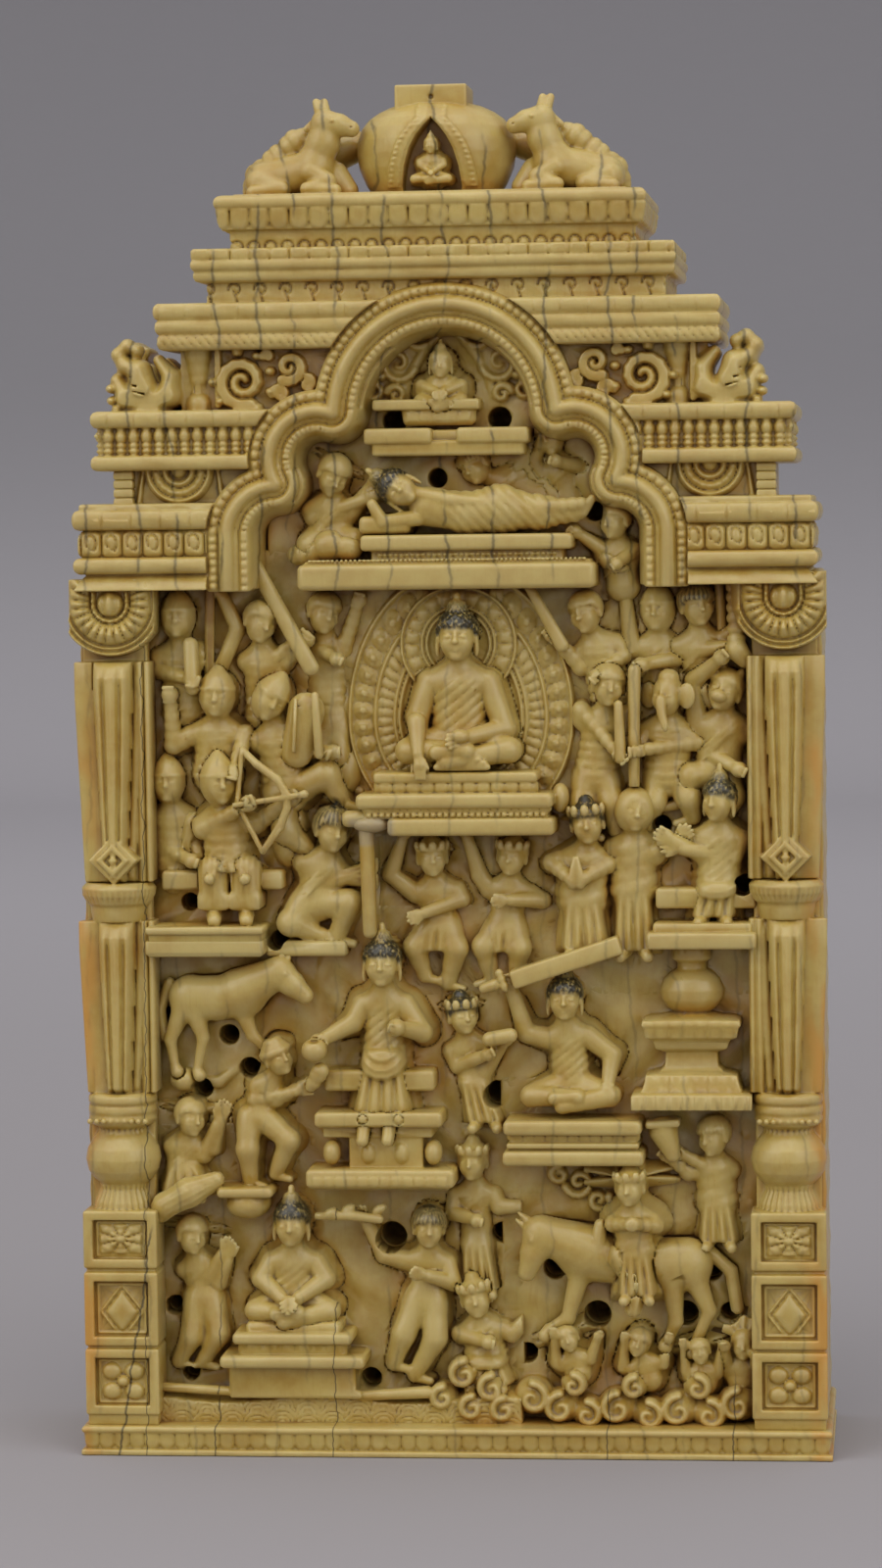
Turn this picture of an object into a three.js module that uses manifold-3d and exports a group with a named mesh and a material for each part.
// A relief plaque cut from one block: a plinth, two turned pillars, a cusped arch that breaks
// through five stepped cornices, a dome with two animals on top, and rows of small figures.
// Millimetres, +Z up, front towards -Y, origin in the middle of the underside.
import * as THREE from 'three';
import { mergeVertices } from 'three/addons/utils/BufferGeometryUtils.js';
import Module from 'manifold-3d';

const wasm = await Module();
wasm.setup();

// Driving dimensions of the block
const FRONT = -12;
const BACK = 12;
const GROUND = -3;
const PLINTH_HEIGHT = 3;
const PLINTH_HALF = 38.25;
const COURT_HALF = 30.4;
const COURT_TOP = 88.4;

// Cornices and the set-back friezes between them, from the bottom up
const CORNICES = [
  { bottom: 88.4, top: 96.5, half: 37.5, bands: ['lip', 'roll', 'row', 'row', 'roll', 'flat'] },
  { bottom: 99.7, top: 106.1, half: 35.3, bands: ['roll', 'row', 'row', 'row', 'roll'] },
  { bottom: 112.4, top: 116.2, half: 28.8, bands: ['roll', 'roll', 'roll', 'flat'] },
  { bottom: 118.9, top: 121.4, half: 24.3, bands: ['roll', 'flat'] },
  { bottom: 123.4, top: 127.1, half: 22, bands: ['row', 'roll', 'flat'] },
];
const FRIEZES = [
  { bottom: 96, top: 100, half: 32.5 },
  { bottom: 106, top: 112.5, half: 27.5 },
  { bottom: 116, top: 119, half: 23.1 },
  { bottom: 121, top: 123.6, half: 21.3 },
];
const FRIEZE_FRONT = -9;
// Outline of the creature that ends the tall frieze on each side, as [x, z] for the right side
const FRIEZE_BEAST = [[27, 105.8], [33.4, 105.8], [32.6, 107.6], [34, 109], [33.2, 110.4], [31.2, 110.6],
  [31.8, 112], [30.4, 113.2], [27, 112.6]];
const ROLL_BULGE = 0.7;
const ROW_SINK = 0.6;
const LIP_BULGE = 0.5;

// Cusped arch: a wide middle lobe and two smaller lobes each side, given by circle centres
const ARCH_LOBES = [
  { x: 0.3, z: 105.4, r: 11.3 },
  { x: 12.9, z: 101.2, r: 5 },
  { x: 17.1, z: 93.6, r: 5.2 },
];
const ARCH_FOOT = 89;
const ARCH_BANDS = [
  { outer: 1.9, inner: -2.4, front: -10.9 },
  { outer: 0.9, inner: -0.9, front: -12 },
];
const LOBE_SIDES = 14;

// Pillars, as radius against height from the foot of the bulb to the capital
const PILLAR_X = 34;
const PILLAR_AXIS_Y = -8.2;
const PILLAR_BACK = -7.5;
const PILLAR_FACE = 3.8;
const PILLAR_BLOCKS = [
  { bottom: 4.1, top: 10.9 },
  { bottom: 11.2, top: 18.8 },
  { bottom: 19.2, top: 25.1 },
];
const BLOCK_FRONT = -11.4;
const PANEL_INSET = 0.9;
const PANEL_SINK = 0.6;
const BULB = [[25.1, 3.1], [27.2, 2.4], [30.3, 3.8], [33.6, 2.7], [34.4, 3.4], [36.8, 3.4]];
const SHAFTS = [
  { bottom: 37, swell: 49, top: 56.3, ends: 2.4, middle: 3.5 },
  { bottom: 58.4, swell: 70, top: 80, ends: 2.3, middle: 3.2 },
];
const CAPITAL_RING = [[56.2, 3], [57.3, 3.6], [58.5, 3]];
const DIAMOND = { z: 60.4, half: 2.4, depth: 1.4 };
const FESTOON = { z: 87.6, outer: 3.7, inner: 2.2, front: -11.6 };
const FLUTES = 4;
const FLUTE_DEPTH = 0.35;
const TURNED_STEPS = 4;

// Proportions of a figure, in heads
const HEAD_DEEP = 0.4;
const SHOULDER_DROP = 0.78;
const SHOULDER_HALF = 0.6;
const WAIST_R = 0.42;
const ARM_R = 0.2;
const LEG_R = 0.3;
const FACE_SHARE = 0.6;
const BAR_SIDES = 4;

// Seats, slabs, ledges and plinths in the reliefs: [left, right, bottom, top, front]
const LEDGES = [
  [-7.2, 3.8, 105.6, 107, -9], [-8.2, 8.6, 101.6, 104.2, -10],
  [-8.6, 13, 90.4, 93.4, -10.6], [-15, 15.4, 87.8, 90.4, -11],
  [-7.4, 9.2, 67.7, 69.7, -11], [-9, 10.8, 65.6, 67.7, -11.4], [-5.9, 10.9, 63.4, 65.1, -11],
  [-30.8, -18.8, 51.1, 54.1, -10.8], [-29.6, -17.1, 57.4, 59.8, -8.5], [-18.8, -10.6, 50.6, 52.4, -8],
  [20.1, 31, 51.5, 53.9, -10.8], [20.8, 24, 55.5, 57.4, -8.5],
  [-14, -0.8, 32.8, 35.2, -11], [-14.9, 0.3, 27, 29.2, -11.2], [-10.6, -3, 28.8, 33, -9.6],
  [-13, -1.8, 36.6, 38.6, -8.6],
  [5.6, 19.2, 33.6, 35, -11], [6.4, 18.4, 31.2, 33.8, -10.2], [5.4, 19.4, 29.9, 31.4, -11],
  [-22.7, -10.3, 10.3, 12.2, -10.8], [-23.9, -8.8, 9, 10.4, -11.2], [-22.9, -9.6, 6.4, 9.1, -10.8],
  [-30.6, -24.2, 25.9, 28.3, -10], [-24.3, -18.2, 25, 27.1, -10.4], [18.8, 31.2, 35.2, 38, -10.8],
  [-30.6, -7.8, 2.8, 6.2, -9.6],
];

// Rods, blades and staves: [x, z, x, z, radius, front]
const RODS = [
  [-24.9, 80.5, -24.7, 87.8, 0.4, -7.6],
  [-13.8, 80.4, -19.6, 90.6, 0.7, -9], [-14.2, 77.2, -14.2, 71.6, 0.5, -9.6],
  [-8.1, 53.9, -8.1, 65.2, 0.6, -9.8],
  [-26.8, 67.6, -26.4, 61.6, 0.7, -8.2], [8.6, 87.4, 11.3, 82.4, 0.6, -8],
  [29, 87.8, 29, 81.4, 0.9, -8.4], [17.2, 76, 17.2, 70.2, 0.5, -9.2],
  [18.9, 79, 18.8, 68.3, 0.5, -8.6], [3.2, 47.3, 17.2, 52.3, 0.8, -9.8],
  [-13.8, 23.8, -6, 24.1, 0.6, -9.4], [-20.9, 71.8, -16, 67.2, 0.4, -10.2],
  [-16, 67.4, -18.9, 62.1, 0.4, -10.2],
];

// Figures. head: middle of the head; size: head height; hip: foot of the spine; arms and legs:
// [joint, end] pairs in the plane of the plaque; lap: half width of crossed legs; hem: foot of a
// robe and its half width; out: how far the body stands out from the ground.
const CAST = [
  { head: [-1, 132.6], size: 1.7, hip: [-1, 129.6], lap: 2.2, out: 5.6, hat: 'bun' },
  { head: [-0.3, 110.6], size: 2.7, hip: [-0.3, 107.4], lap: 2.8, out: 5, hat: 'bun' },
  { head: [-11.4, 99.6], size: 4.1, hip: [-12, 93.6], out: 4.6, hat: 'hair',
    arms: [[-11, 95.6, -7.4, 97.6]] },
  { head: [2.8, 100.3], size: 3.8, hip: [9, 97.8], out: 3, hat: 'hair' },
  { head: [10.6, 103.2], size: 3.8, hip: [12.4, 97.4], out: 3, hat: 'hair' },
  { head: [17.1, 94.6], size: 3.7, hip: [17.8, 88], out: 4.2, hat: 'hair',
    arms: [[15.7, 91.8, 13.3, 93.3]] },
  { head: [1, 83], size: 5.3, hip: [1, 72.2], lap: 6.9, out: 6, hat: 'bun', broad: 1.5,
    arms: [[-3.3, 74.3, -2.9, 69.9], [5.7, 73.8, 1.4, 73.6]] },
  { head: [-27.7, 85.5], size: 4.5, hip: [-27.4, 75.6], out: 4, hat: 'helmet' },
  { head: [-19.3, 84.6], size: 4.4, hip: [-19, 75.6], out: 4.2, hat: 'hair',
    arms: [[-17.8, 80.7, -15.1, 83.2]] },
  { head: [-12.8, 85.6], size: 3.9, hip: [-12.2, 70.4], out: 3.2, hat: 'hair',
    arms: [[-11.1, 82, -9.2, 86.2]] },
  { head: [-23.6, 77.2], size: 4.7, hip: [-24, 69.6], out: 5.2, hat: 'helmet',
    arms: [[-28.4, 73.8, -28.8, 77.7], [-22.3, 82, -24.2, 87]] },
  { head: [-18.1, 76.8], size: 4.4, hip: [-16.6, 67.2], out: 5.4, hat: 'helmet',
    arms: [[-17.4, 71.8, -14, 72.2]], legs: [[-12.6, 69.4, -11, 66.8]] },
  { head: [-29, 68.4], size: 4.3, hip: [-28.4, 60.4], out: 4, hat: 'helmet' },
  { head: [-23.4, 68.6], size: 4.9, hip: [-22.8, 60.8], hem: [-22.8, 55.4, 3.4], out: 5.8,
    hat: 'helmet', arms: [[-25.5, 63.9, -20.9, 66.4], [-19.6, 64.8, -16, 66.6]] },
  { head: [-12.2, 63.3], size: 4.7, hip: [-14.2, 56], out: 5.2, hat: 'hair',
    arms: [[-12.8, 58.9, -8, 59.7]], legs: [[-10.6, 55.9, -11.8, 52.4]] },
  { head: [14, 85.2], size: 4.4, hip: [16.4, 77.4], out: 4.2, hat: 'hair',
    arms: [[14, 79.9, 11.2, 82.5]] },
  { head: [21.2, 85.6], size: 4.1, hip: [21.4, 78.2], out: 3.4, hat: 'hair',
    arms: [[18.5, 82.6, 17.8, 87]] },
  { head: [25, 85.9], size: 4.2, hip: [26, 77.4], out: 4, hat: 'hair',
    arms: [[25.1, 81.5, 29, 81.9]] },
  { head: [16.2, 77.8], size: 4.4, hip: [14.8, 64.8], out: 4.8, hat: 'hair' },
  { head: [22.2, 76.8], size: 4.4, hip: [22.2, 66.8], out: 4.6, hat: 'trunk' },
  { head: [27.9, 78], size: 4.3, hip: [27.2, 67.4], out: 4.2, hat: 'helmet' },
  { head: [14, 64], size: 4.6, hip: [13.4, 56.6], hem: [13.2, 51.2, 2.9], out: 5.4, hat: 'crown' },
  { head: [18.7, 65.6], size: 4.4, hip: [18.4, 57.6], hem: [18.4, 50.8, 2.2], out: 5, hat: 'hood' },
  { head: [27.3, 66.3], size: 4.4, hip: [27, 58], hem: [26.4, 54, 2.7], out: 5.6, hat: 'hair',
    arms: [[25, 60.8, 23.2, 62.4]] },
  { head: [-1.9, 60.7], size: 4.4, hip: [-1.6, 53.6], out: 4.4, hat: 'crown',
    arms: [[-6.3, 59.2, -5.3, 62]],
    legs: [[0.6, 51, -1.2, 47.6]] },
  { head: [6.1, 60.6], size: 4.4, hip: [5.2, 53.4], out: 4, hat: 'crown',
    arms: [[2.6, 58.8, 1.7, 62.2]],
    legs: [[2.6, 51.4, 4, 47.6]] },
  { head: [-7.1, 49.6], size: 5.1, hip: [-7, 40.8], hem: [-7.4, 35, 3.2], out: 6.2, hat: 'bun',
    broad: 1.2, arms: [[-10.6, 43.4, -13.3, 42.8], [-3, 43.6, -5.6, 43]] },
  { head: [0.7, 43.7], size: 4.3, hip: [1, 36], hem: [1.8, 32.4, 3], out: 4.6, hat: 'crown',
    arms: [[1.9, 38.2, 4.6, 41.7]] },
  { head: [11.4, 46.1], size: 4.9, hip: [11, 38.6], lap: 5.6, out: 5.4, hat: 'bun',
    arms: [[6, 43, 5.9, 47.8], [16.2, 41.8, 15.4, 38.4]] },
  { head: [25.6, 32.6], size: 4.2, hip: [26.4, 25.4], hem: [26.6, 21.8, 3], out: 4.4, hat: 'hair' },
  { head: [-27.5, 33.7], size: 4.1, hip: [-28.8, 28.4], hem: [-27.6, 27.4, 2.8], out: 5, hat: 'hair',
    arms: [[-26.8, 30, -24.4, 33.5]] },
  { head: [-18, 40], size: 4.5, hip: [-21.2, 33.6], out: 5.2, hat: 'turban',
    arms: [[-19.6, 36.6, -14.2, 36.6]], legs: [[-20, 31, -21.4, 27.2], [-16.5, 32.4, -19.8, 28]] },
  { head: [-27.8, 21.4], size: 4.3, hip: [-26, 14.2], out: 4.8, hat: 'hair',
    arms: [[-24.9, 17.4, -24, 20.5]], legs: [[-24.2, 11.4, -26.6, 7.2]] },
  { head: [-16.8, 23.2], size: 4.8, hip: [-16.8, 14.8], lap: 5.4, out: 6, hat: 'bun', broad: 1.3,
    arms: [[-20.2, 17, -17.4, 15.8], [-13.2, 17, -16.2, 15.8]] },
  { head: [-2.5, 22.7], size: 4.4, hip: [-3, 14.8], out: 5.2, hat: 'hair',
    arms: [[-8.6, 19.5, -9.1, 23.7]],
    legs: [[-4.8, 11.4, -7.6, 9.2]] },
  { head: [1.9, 28.7], size: 4.2, hip: [2.4, 20.4], hem: [2.6, 15, 2.4], out: 4, hat: 'crown' },
  { head: [1.9, 15.7], size: 3.9, hip: [2.6, 9.4], hem: [2.8, 6.4, 3], out: 4.6, hat: 'bun',
    arms: [[6, 11.8, 8.4, 14]] },
  { head: [18, 27], size: 4.3, hip: [18.6, 19.6], hem: [18.4, 14, 2.4], out: 5.8, hat: 'crown' },
];

// Four-legged animals: chain points run muzzle, poll, withers, rump; legs are [hip, knee, hoof]
const BEASTS = [
  { spine: [[-14.9, 46.7], [-17.6, 49.3], [-21.4, 47], [-27, 47]], body: 2.3, neck: 1.5, head: 1,
    out: 6, legs: [[-22.2, 45.6, -21.4, 43.4, -19.8, 41.2], [-27.8, 45.4, -28.4, 42, -27.6, 39.4],
      [-26, 45, -25.4, 42.2, -26.2, 38.8]] },
  { spine: [[7.4, 18.4], [8.8, 22.4], [13, 20], [23.2, 19.4]], body: 2.9, neck: 1.8, head: 1.2,
    out: 6, legs: [[13, 18, 11.6, 13.8, 9.6, 12.2], [24.4, 18, 25.6, 14.6, 24.2, 10.6],
      [22.2, 17.6, 22.6, 13.6, 22, 11]] },
  { spine: [[-9.6, 135], [-12, 136.2], [-14, 131.6], [-18.6, 130]], body: 1.9, neck: 1.2, head: 0.9,
    out: 4.4, legs: [] },
  { spine: [[6.6, 135.4], [9, 136.2], [10.6, 131.6], [15.4, 130]], body: 1.9, neck: 1.2, head: 0.9,
    out: 4.4, legs: [] },
];

// Round forms: [x, z, half width, half height, how far out]
const BOSSES = [
  [24.3, 50.5, 2, 1.3, 6], [24.4, 46.7, 3.4, 2.1, 6.4], [-17.4, 129.6, 2.8, 2, 4],
  [14.2, 129.6, 2.8, 2, 4],
  [21.2, 31.6, 1.6, 1.9, 6],
];
const BASIN = [
  { bottom: 42.5, top: 44.7, half: 4.7, front: -10.4 },
  { bottom: 39.2, top: 42.6, half: 3.1, front: -9.8 },
  { bottom: 37.9, top: 39.4, half: 4.6, front: -10.2 },
];
const CLOUDS = { left: -6, right: 28, step: 3.9, z: 4.6, rise: 1.1, r: 2.3, out: 7.2 };
const SLEEPER = { head: [-4.6, 98.1], size: 4.4, chest: [-1, 96.4], hip: [5, 95.8],
  feet: [13, 96.2], out: 6.4 };

// Dome and its block on the top cornice
const DOME = { x: -1, half: 8.1, depth: 6.6, y: -2.2 };
const DOME_SIDES = 12;
const DOME_BLOCK = { left: -4.9, right: 2.4, bottom: 136, top: 138.9, front: -5.5, back: 2 };
const NICHE = { x: -1, foot: 128.6, apex: 134.9, half: 2.9, front: -8.6 };
const TOP_BACK = 3.5;
const TOP_BACKING = [
  [[-20, 127], [-19.4, 131], [-13.6, 131.6], [-12.4, 134.6], [-9.4, 134], [-9, 127]],
  [[7, 127], [7.2, 134], [9.6, 134.6], [11, 131.6], [16.6, 131], [17.6, 127]],
];

// Aureole behind the main seated figure, and drilled pits
const AUREOLE = { x: 0.6, z: 74, halfWidth: 11.6, halfHeight: 9.6, thick: 1.5, front: -5.2 };
const AUREOLE_SIDES = 10;
const PITS = [[-5.5, 105], [5.4, 105.1], [14.9, 95.6], [29.9, 57.7], [-9.1, 7], [27.8, 14]];
const PIT_R = 1.1;
const PIT_DEPTH = 2.6;

/** A closed geometry as a solid that can be joined and cut. */
function solid(geometry) {
  geometry.deleteAttribute('normal');
  geometry.deleteAttribute('uv');
  const merged = mergeVertices(geometry);
  return new wasm.Manifold(new wasm.Mesh({
    numProp: 3,
    vertProperties: new Float32Array(merged.attributes.position.array),
    triVerts: new Uint32Array(merged.index.array),
  }));
}

/** All the solids of a list as one. */
function join(solids) {
  return solids.reduce((sum, next) => sum.add(next));
}

/** A box between opposite corners. */
function block(left, right, front, back, bottom, top) {
  const geometry = new THREE.BoxGeometry(right - left, back - front, top - bottom);
  geometry.translate((left + right) / 2, (front + back) / 2, (bottom + top) / 2);
  return solid(geometry);
}

/** An outline in the plane of the plaque, given as [x, z] points, between two depths. */
function slab(points, front, back) {
  const shape = new THREE.Shape(points.map(([x, z]) => new THREE.Vector2(x, z)));
  const geometry = new THREE.ExtrudeGeometry(shape, { depth: back - front, bevelEnabled: false });
  const basis = new THREE.Matrix4().makeBasis(
    new THREE.Vector3(1, 0, 0), new THREE.Vector3(0, 0, 1), new THREE.Vector3(0, -1, 0));
  geometry.applyMatrix4(basis);
  geometry.translate(0, back, 0);
  return solid(geometry);
}

/** A moulding of constant section along X, its section given as [y, z] points. */
function moulding(points, half) {
  const shape = new THREE.Shape(points.map(([y, z]) => new THREE.Vector2(y, z)));
  const geometry = new THREE.ExtrudeGeometry(shape, { depth: 2 * half, bevelEnabled: false });
  const basis = new THREE.Matrix4().makeBasis(
    new THREE.Vector3(0, 1, 0), new THREE.Vector3(0, 0, 1), new THREE.Vector3(1, 0, 0));
  geometry.applyMatrix4(basis);
  geometry.translate(-half, 0, 0);
  return solid(geometry);
}

/** A tapered bar between two points [x, y, z]. */
function bar(from, to, fromR, toR, sides = BAR_SIDES) {
  const start = new THREE.Vector3(...from);
  const end = new THREE.Vector3(...to);
  const along = end.clone().sub(start);
  const geometry = new THREE.CylinderGeometry(toR, fromR, along.length(), sides);
  const turn = new THREE.Quaternion().setFromUnitVectors(
    new THREE.Vector3(0, 1, 0), along.clone().normalize());
  geometry.applyQuaternion(turn);
  const middle = start.add(end).multiplyScalar(0.5);
  geometry.translate(middle.x, middle.y, middle.z);
  return solid(geometry);
}

/** The front half of a turned form at x, from [z, radius] pairs, with optional flutes. */
function turned(x, profile, steps = TURNED_STEPS, fluteDepth = 0) {
  const rings = profile.map(([z, r]) => {
    const front = Array.from({ length: steps + 1 }, (_, i) => {
      const angle = Math.PI * i / steps;
      const reach = r - (i % 2 ? 0 : fluteDepth);
      return [x - reach * Math.cos(angle), PILLAR_AXIS_Y - reach * Math.sin(angle), z];
    });
    return [[x - r, PILLAR_BACK + 1, z], ...front, [x + r, PILLAR_BACK + 1, z]];
  });
  return skin(rings.reverse());
}

/** Points of an ellipse arc in the plane of the plaque, angles in degrees from +X. */
function arc(x, z, halfWidth, halfHeight, from, to, steps) {
  return Array.from({ length: steps + 1 }, (_, i) => {
    const angle = THREE.MathUtils.degToRad(from + (to - from) * i / steps);
    return [x + halfWidth * Math.cos(angle), z + halfHeight * Math.sin(angle)];
  });
}

/** Front line of a cornice: one step of the section for each named band, bottom to top. */
function corniceSection({ bottom, top, bands }) {
  const height = (top - bottom) / bands.length;
  const front = bands.flatMap((band, i) => {
    const low = bottom + i * height;
    const high = low + height;
    if (band === 'row') return [[FRONT + ROW_SINK, low], [FRONT + ROW_SINK, high]];
    if (band === 'flat') return [[FRONT, low], [FRONT, high]];
    if (band === 'lip') return [[FRONT + LIP_BULGE, low], [FRONT, low + height / 2], [FRONT, high]];
    return [[FRONT + ROLL_BULGE, low], [FRONT, low + height / 2], [FRONT + ROLL_BULGE, high]];
  });
  const tidy = front.filter((point, i) => i === 0 || point[1] !== front[i - 1][1]
    || point[0] !== front[i - 1][0]);
  return [[BACK, bottom], ...tidy, [BACK, top]].reverse();
}

/** The discs of the arch's lobes on both sides, grown by a margin, joined between two depths. */
function archOpening(margin, front, back) {
  const lobes = ARCH_LOBES.flatMap(({ x, z, r }, i) => {
    const sides = i === 0 ? [x] : [x, 2 * ARCH_LOBES[0].x - x];
    return sides.map((centre) =>
      slab(arc(centre, z, r + margin, r + margin, 0, 360, LOBE_SIDES).slice(0, -1), front, back));
  });
  const [middle, ...lower] = ARCH_LOBES;
  for (const { x, z } of lower) {
    const half = x - middle.x;
    lobes.push(block(middle.x - half, middle.x + half, front, back, ARCH_FOOT - 1, z));
  }
  return join(lobes).subtract(
    block(-PLINTH_HALF, PLINTH_HALF, front - 1, back + 1, 0, ARCH_FOOT));
}

/** Plinth, cornices, friezes and the court between the pillars. */
function carcass() {
  const parts = [
    block(-PLINTH_HALF, PLINTH_HALF, FRONT, BACK, 0, PLINTH_HEIGHT),
    block(-PILLAR_X - PILLAR_FACE, PILLAR_X + PILLAR_FACE, PILLAR_BACK, BACK, 1, COURT_TOP + 1),
    ...CORNICES.map((cornice) => moulding(corniceSection(cornice), cornice.half)),
    ...FRIEZES.map(({ bottom, top, half }) => block(-half, half, FRIEZE_FRONT, BACK, bottom, top)),
  ];
  for (const side of [-1, 1]) {
    const outline = FRIEZE_BEAST.map(([x, z]) => [side * x, z]);
    parts.push(slab(side > 0 ? outline : outline.reverse(), FRIEZE_FRONT, BACK - 1));
  }
  for (const { outer, front } of ARCH_BANDS) {
    parts.push(archOpening(outer, front, BACK - 1));
  }
  const clear = FRONT - 2;
  const rim = ARCH_BANDS[1].inner;
  const inside = ARCH_BANDS[0].inner;
  return join(parts)
    .subtract(archOpening(rim, clear, ARCH_BANDS[0].front))
    .subtract(archOpening(inside, clear, GROUND))
    .subtract(block(-COURT_HALF, COURT_HALF, clear, GROUND, PLINTH_HEIGHT, COURT_TOP));
}

/** One pillar: square panelled blocks, bulb and rings, two fluted shafts, festoon capital. */
function pillar(side) {
  const x = side * PILLAR_X;
  const left = x - PILLAR_FACE;
  const right = x + PILLAR_FACE;
  const parts = [
    turned(x, BULB),
    turned(x, CAPITAL_RING),
    bar([x, PILLAR_AXIS_Y, DIAMOND.z], [x, FRONT + 0.05, DIAMOND.z], DIAMOND.half,
      DIAMOND.half - DIAMOND.depth),
    slab([...arc(x, FESTOON.z, FESTOON.outer, FESTOON.outer, 180, 360, 6),
      ...arc(x, FESTOON.z, FESTOON.inner, FESTOON.inner, 360, 180, 6)], FESTOON.front, PILLAR_BACK + 1),
  ];
  for (const { bottom, top } of PILLAR_BLOCKS) {
    const panel = block(left + PANEL_INSET, right - PANEL_INSET, FRONT - 1, BLOCK_FRONT + PANEL_SINK,
      bottom + PANEL_INSET, top - PANEL_INSET);
    parts.push(block(left, right, BLOCK_FRONT, PILLAR_BACK + 1, bottom, top).subtract(panel));
  }
  for (const { bottom, swell, top, ends, middle } of SHAFTS) {
    parts.push(turned(x, [[bottom, ends], [(bottom + swell) / 2, middle], [swell, middle], [top, ends]],
      2 * FLUTES, FLUTE_DEPTH));
  }
  return join(parts);
}

/** A closed body through a row of rings, each ring a list of [x, y, z] with the same count. */
function skin(rings) {
  const count = rings[0].length;
  const faces = [];
  for (let i = 0; i + 1 < rings.length; i += 1) {
    for (let j = 0; j < count; j += 1) {
      const a = i * count + j;
      const b = i * count + (j + 1) % count;
      faces.push(a, a + count, b, b, a + count, b + count);
    }
  }
  const last = (rings.length - 1) * count;
  for (let j = 1; j + 1 < count; j += 1) {
    faces.push(0, j, j + 1, last, last + j + 1, last + j);
  }
  const geometry = new THREE.BufferGeometry();
  geometry.setAttribute('position', new THREE.Float32BufferAttribute(rings.flat(2), 3));
  geometry.setIndex(faces);
  return solid(geometry);
}

/** Direction square to the way from one [x, z] point to another, in the plane of the plaque. */
function square([x0, z0], [x1, z1]) {
  const length = Math.hypot(x1 - x0, z1 - z0) || 1;
  return [-(z1 - z0) / length, (x1 - x0) / length];
}

/** A relief body rooted in the ground: stations are [x, z, half width, how far out]. */
function relief(stations) {
  const rings = stations.map(([x, z, half, out], i) => {
    const before = stations[Math.max(i - 1, 0)];
    const after = stations[Math.min(i + 1, stations.length - 1)];
    const [sx, sz] = square(before, after);
    return [[-1, GROUND + 1], [-FACE_SHARE, GROUND - out], [FACE_SHARE, GROUND - out], [1, GROUND + 1]]
      .map(([step, y]) => [x + sx * half * step, y, z + sz * half * step]);
  });
  return skin(rings);
}

/** A limb of three sides through joints [x, z, radius, out]. */
function limb(joints) {
  const rings = joints.map(([x, z, r, out], i) => {
    const before = joints[Math.max(i - 1, 0)];
    const after = joints[Math.min(i + 1, joints.length - 1)];
    const [sx, sz] = square(before, after);
    const back = GROUND - Math.max(out - 2 * r, -1);
    return [[-1, back], [0, GROUND - out - r], [1, back]]
      .map(([step, y]) => [x + sx * r * step, y, z + sz * r * step]);
  });
  return skin(rings);
}

/** Stations of a head and what it wears, from the top down to the neck. */
function headStations([x, z], [dx, dz], hat, u, out) {
  const at = (along, half, front = out) => [x + dx * along * u, z + dz * along * u, half * u, front];
  const tops = {
    bun: [at(-0.8, 0.1, out * 0.9), at(-0.55, 0.2), at(-0.4, 0.34), at(0, 0.44)],
    helmet: [at(-0.85, 0.06, out * 0.9), at(-0.1, 0.5)],
    crown: [at(-0.62, 0.3), at(0, 0.42)],
    turban: [at(-0.6, 0.34), at(-0.3, 0.6)],
    hood: [at(-0.56, 0.26), at(-0.1, 0.54)],
    trunk: [at(-0.56, 0.3), at(-0.1, 0.5)],
    hair: [at(-0.5, 0.26), at(-0.1, 0.48)],
  };
  return [...tops[hat], at(0.5, 0.24, out * 0.85)];
}

/** One figure of the reliefs. */
function figure({ head, size, hip, out, arms = [], legs = [], lap = 0, hem, hat, broad = 1 }) {
  const u = size;
  const away = Math.hypot(hip[0] - head[0], hip[1] - head[1]);
  const spine = [(hip[0] - head[0]) / away, (hip[1] - head[1]) / away];
  const neck = [head[0] + spine[0] * SHOULDER_DROP * u, head[1] + spine[1] * SHOULDER_DROP * u];
  const body = [
    ...headStations(head, spine, hat, u, out + HEAD_DEEP * u),
    [neck[0], neck[1], SHOULDER_HALF * broad * u, out + 0.1 * u],
    [hip[0], hip[1], WAIST_R * broad * u, out + 0.3 * u],
  ];
  if (hem) body.push([hem[0], hem[1], hem[2], out + 0.3 * u]);
  const parts = [relief(body)];
  arms.forEach(([ex, ez, wx, wz]) => {
    const reach = (SHOULDER_HALF * broad - ARM_R / 2) * u * (ex < neck[0] ? 1 : -1);
    const shoulder = [neck[0] - spine[1] * reach, neck[1] + spine[0] * reach - ARM_R * u];
    parts.push(limb([[...shoulder, ARM_R * u, out - 0.1 * u], [ex, ez, ARM_R * u, out],
      [wx, wz, ARM_R * 0.8 * u, out + 0.4 * u]]));
  });
  legs.forEach(([kx, kz, fx, fz]) => {
    parts.push(limb([[...hip, LEG_R * u, out], [kx, kz, LEG_R * u, out + 0.1 * u],
      [fx, fz, LEG_R * 0.7 * u, out - 0.2 * u]]));
  });
  if (lap > 0) {
    const low = hip[1] - 0.3 * u;
    parts.push(relief([[hip[0] - lap, low, 0.25 * u, out], [hip[0] - lap / 2, low, 0.42 * u, out + u / 2],
      [hip[0] + lap / 2, low, 0.42 * u, out + u / 2], [hip[0] + lap, low, 0.25 * u, out]]));
  }
  return join(parts);
}

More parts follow.
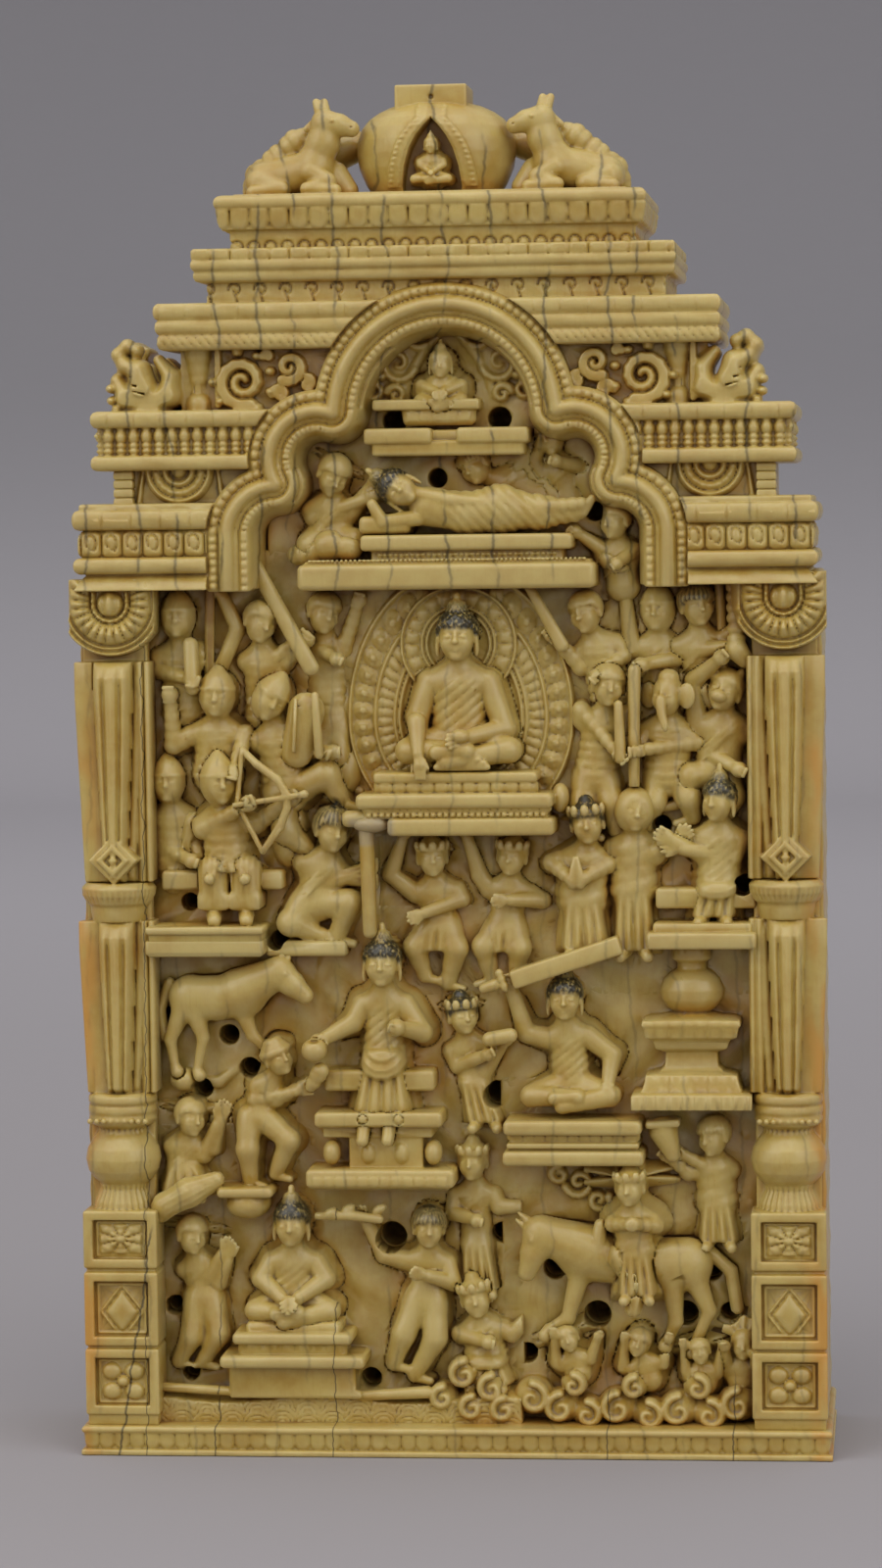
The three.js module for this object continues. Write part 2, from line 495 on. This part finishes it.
/** One four-legged animal. */
function beast({ spine, body, neck, head, out, legs }) {
  const [muzzle, poll, withers, rump] = spine;
  const parts = [
    relief([[...muzzle, head * 0.7, out], [...poll, head * 1.2, out], [...withers, neck * 1.3, out]]),
    relief([[...withers, body * 0.9, out], [...rump, body, out + 0.4],
      [rump[0] + Math.sign(rump[0] - muzzle[0]) * body, rump[1], body * 0.5, out - 1]]),
  ];
  legs.forEach(([hx, hz, kx, kz, fx, fz]) => {
    parts.push(limb([[hx, hz, body * 0.45, out - 0.5], [kx, kz, body * 0.28, out - 0.5],
      [fx, fz, body * 0.24, out - 0.5]]));
  });
  return join(parts);
}

/** Dome with its niche, block, and the low backing that carries the two animals. */
function crest() {
  const { left, right, bottom, top, front, back } = DOME_BLOCK;
  const foot = CORNICES[4].top - 0.5;
  const profile = [[foot, 5.6], [129, 7.2], [132, DOME.half], [134.5, 7.7], [136.2, 5.8], [137, 3.6]];
  const points = [[foot, 0], ...profile, [top - 1, 0]].map(([z, r]) => new THREE.Vector2(r, z));
  const body = new THREE.LatheGeometry(points, DOME_SIDES);
  body.rotateX(Math.PI / 2);
  body.scale(1, DOME.depth / DOME.half, 1);
  body.translate(DOME.x, DOME.y, 0);
  const dome = solid(body);
  const frame = slab([[NICHE.x - NICHE.half, NICHE.foot], [NICHE.x + NICHE.half, NICHE.foot],
    [NICHE.x + NICHE.half, NICHE.apex - NICHE.half], [NICHE.x, NICHE.apex],
    [NICHE.x - NICHE.half, NICHE.apex - NICHE.half]], NICHE.front, 0);
  const hollow = slab([[NICHE.x - 2, NICHE.foot + 0.4], [NICHE.x + 2, NICHE.foot + 0.4],
    [NICHE.x + 2, NICHE.apex - 3], [NICHE.x, NICHE.apex - 0.9], [NICHE.x - 2, NICHE.apex - 3]],
    NICHE.front - 1, NICHE.front + 1.4);
  return join([dome, frame, block(left, right, front, back, bottom, top),
    ...TOP_BACKING.map((outline) => slab(outline, GROUND, TOP_BACK))]).subtract(hollow);
}

/** A raised oval band. */
function aureole({ x, z, halfWidth, halfHeight, thick, front }) {
  const outer = arc(x, z, halfWidth, halfHeight, -40, 220, AUREOLE_SIDES);
  const inner = arc(x, z, halfWidth - thick, halfHeight - thick, 220, -40, AUREOLE_SIDES);
  return slab([...outer, ...inner], front, GROUND + 1);
}

/** The figure that lies on the couch in the arch. */
function sleeper() {
  const { head, size, chest, hip, feet, out } = SLEEPER;
  const u = size;
  return join([
    relief([[head[0] - 0.5 * u, head[1] + 0.1 * u, 0.25 * u, out], [...head, 0.46 * u, out],
      [...chest, 0.5 * u, out], [...hip, 0.55 * u, out - 0.5], [...feet, 0.3 * u, out - 1]]),
    limb([[chest[0] - 0.4 * u, chest[1], ARM_R * u, out],
      [head[0] - 0.6 * u, head[1] - 0.5 * u, ARM_R * u, out],
      [head[0] - 0.5 * u, head[1] - 0.9 * u, ARM_R * u, out]]),
  ]);
}

/** A round form standing out of the ground. */
function boss([x, z, halfX, halfZ, out]) {
  return relief([[x, z + halfZ, halfX * 0.4, out * 0.8], [x, z + halfZ / 2, halfX * 0.9, out],
    [x, z - halfZ / 2, halfX * 0.9, out], [x, z - halfZ, halfX * 0.4, out * 0.8]]);
}

/** Curled clouds along the foot of the court. */
function clouds() {
  const { left, right, step, z, rise, r, out } = CLOUDS;
  const stations = [];
  for (let x = left; x <= right; x += step) {
    const lift = stations.length % 4 === 0 ? rise : 0;
    stations.push([x, z + lift, r, out], [x + step / 2, z, r * 0.7, out - 1]);
  }
  return relief(stations);
}

const raised = join([
  pillar(-1), pillar(1), crest(), sleeper(), clouds(),
  aureole(AUREOLE),
  ...LEDGES.map(([left, right, bottom, top, front]) => block(left, right, front, GROUND + 1, bottom, top)),
  ...BASIN.map(({ bottom, top, half, front }) =>
    block(24.6 - half, 24.6 + half, front, GROUND + 1, bottom, top)),
  ...RODS.map(([x0, z0, x1, z1, r, front]) =>
    relief([[x0, z0, r, GROUND - front], [x1, z1, r, GROUND - front]])),
  ...BOSSES.map(boss),
  ...CAST.map(figure),
  ...BEASTS.map(beast),
]);
const limit = block(-PLINTH_HALF, PLINTH_HALF, FRONT, BACK, 0, DOME_BLOCK.top);
const pits = join(PITS.map(([x, z]) =>
  bar([x, GROUND - PIT_DEPTH, z], [x, GROUND + PIT_DEPTH, z], PIT_R, PIT_R, 6)));
const carved = carcass().add(raised.intersect(limit)).subtract(pits);
// Overlapping limbs can enclose small pockets, which the carver would never have cut
const [outside] = carved.decompose().sort((a, b) => b.volume() - a.volume());

const mesh = outside.getMesh();
const geometry = new THREE.BufferGeometry();
geometry.setAttribute('position', new THREE.BufferAttribute(mesh.vertProperties, 3));
geometry.setIndex(new THREE.BufferAttribute(mesh.triVerts, 1));
geometry.computeVertexNormals();

const ivory = new THREE.MeshStandardMaterial({ color: 0xd9c48f, roughness: 0.42, metalness: 0 });
const plaque = new THREE.Mesh(geometry, ivory);
plaque.name = 'plaque';

const model = new THREE.Group();
model.add(plaque);

export default model;
